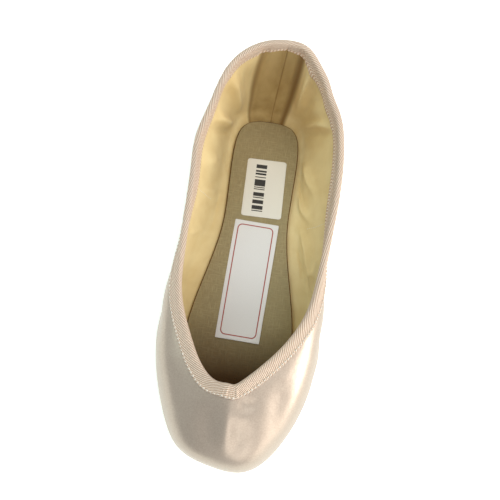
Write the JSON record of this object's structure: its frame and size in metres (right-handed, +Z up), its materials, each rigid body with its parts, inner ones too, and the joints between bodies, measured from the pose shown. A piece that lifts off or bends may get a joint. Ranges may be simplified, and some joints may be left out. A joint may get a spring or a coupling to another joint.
{
  "type": "pointe shoe",
  "caption": "Empty ballet pointe shoe with a satin upper, stiffened box and flat tip, tape-bound collar, linen insole and narrow leather outsole.",
  "frame": {"origin": "on the floor under the middle of the shoe's bounding box", "axes": "+Z up, +Y towards the heel along the length, +X across, to the right of someone who looks from the toe to the heel"},
  "size_m": [0.0894, 0.2314, 0.0622],
  "materials": {
    "satin": "pale pink satin, cream cotton lining inside",
    "cotton_tape": "matt twill tape",
    "sole_leather": "plain split leather",
    "linen": "matt plain-woven linen",
    "label_satin": "white woven label with a thin red border line",
    "sticker_paper": "off-white coated paper"
  },
  "bodies": {
    "root": {"upper": "satin", "binding": "cotton_tape", "outsole": "sole_leather", "insole": "linen", "woven_label": "label_satin", "size_sticker": "sticker_paper"}
  },
  "joints": []
}
